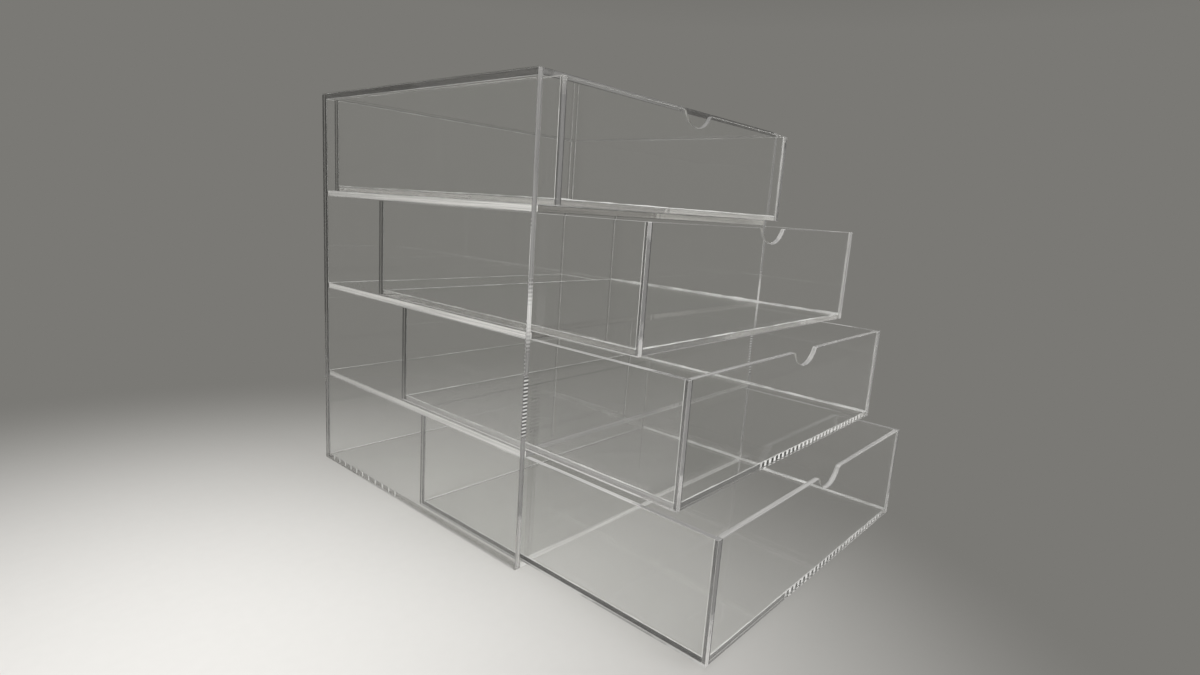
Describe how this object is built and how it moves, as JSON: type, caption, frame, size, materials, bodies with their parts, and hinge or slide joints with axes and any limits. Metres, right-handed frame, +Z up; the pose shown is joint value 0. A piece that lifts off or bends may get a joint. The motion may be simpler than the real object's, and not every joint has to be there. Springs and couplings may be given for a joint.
{
  "type": "acrylic makeup organizer drawers",
  "caption": "Clear acrylic drawer tower for make-up and jewellery: an open-fronted sheet cabinet with full-width, open-topped drawers that slide out by a round finger notch.",
  "frame": {"origin": "centre of the cabinet's underside, on the surface it stands on", "axes": "+Z up; the drawers open towards -Y, so +Y runs to the cabinet's back; +X is to the right for someone facing the drawers"},
  "size_m": [0.25, 0.345, 0.27],
  "materials": {
    "cabinet_acrylic": "clear polished acrylic sheet, 3.5 mm",
    "drawer_acrylic": "clear polished acrylic sheet, 3 mm"
  },
  "bodies": {
    "cabinet": {"cabinet_left_side": "cabinet_acrylic", "cabinet_right_side": "cabinet_acrylic", "cabinet_back": "cabinet_acrylic", "cabinet_bottom": "cabinet_acrylic", "cabinet_shelf_3": "cabinet_acrylic", "cabinet_shelf_2": "cabinet_acrylic", "cabinet_shelf_1": "cabinet_acrylic", "cabinet_top": "cabinet_acrylic"},
    "drawer_1": {"drawer_1_left_side": "drawer_acrylic", "drawer_1_right_side": "drawer_acrylic", "drawer_1_front": "drawer_acrylic", "drawer_1_back": "drawer_acrylic", "drawer_1_bottom": "drawer_acrylic"},
    "drawer_2": {"drawer_2_left_side": "drawer_acrylic", "drawer_2_right_side": "drawer_acrylic", "drawer_2_front": "drawer_acrylic", "drawer_2_back": "drawer_acrylic", "drawer_2_bottom": "drawer_acrylic"},
    "drawer_3": {"drawer_3_left_side": "drawer_acrylic", "drawer_3_right_side": "drawer_acrylic", "drawer_3_front": "drawer_acrylic", "drawer_3_back": "drawer_acrylic", "drawer_3_bottom": "drawer_acrylic"},
    "drawer_4": {"drawer_4_left_side": "drawer_acrylic", "drawer_4_right_side": "drawer_acrylic", "drawer_4_front": "drawer_acrylic", "drawer_4_back": "drawer_acrylic", "drawer_4_bottom": "drawer_acrylic"}
  },
  "joints": [
    {"name": "drawer_1_slide", "type": "slide", "parent": "cabinet", "child": "drawer_1", "axis": [0, -1, 0], "range_m": [-0.008, 0.172]},
    {"name": "drawer_2_slide", "type": "slide", "parent": "cabinet", "child": "drawer_2", "axis": [0, -1, 0], "range_m": [-0.067, 0.113]},
    {"name": "drawer_3_slide", "type": "slide", "parent": "cabinet", "child": "drawer_3", "axis": [0, -1, 0], "range_m": [-0.096, 0.084]},
    {"name": "drawer_4_slide", "type": "slide", "parent": "cabinet", "child": "drawer_4", "axis": [0, -1, 0], "range_m": [-0.119, 0.061]}
  ]
}
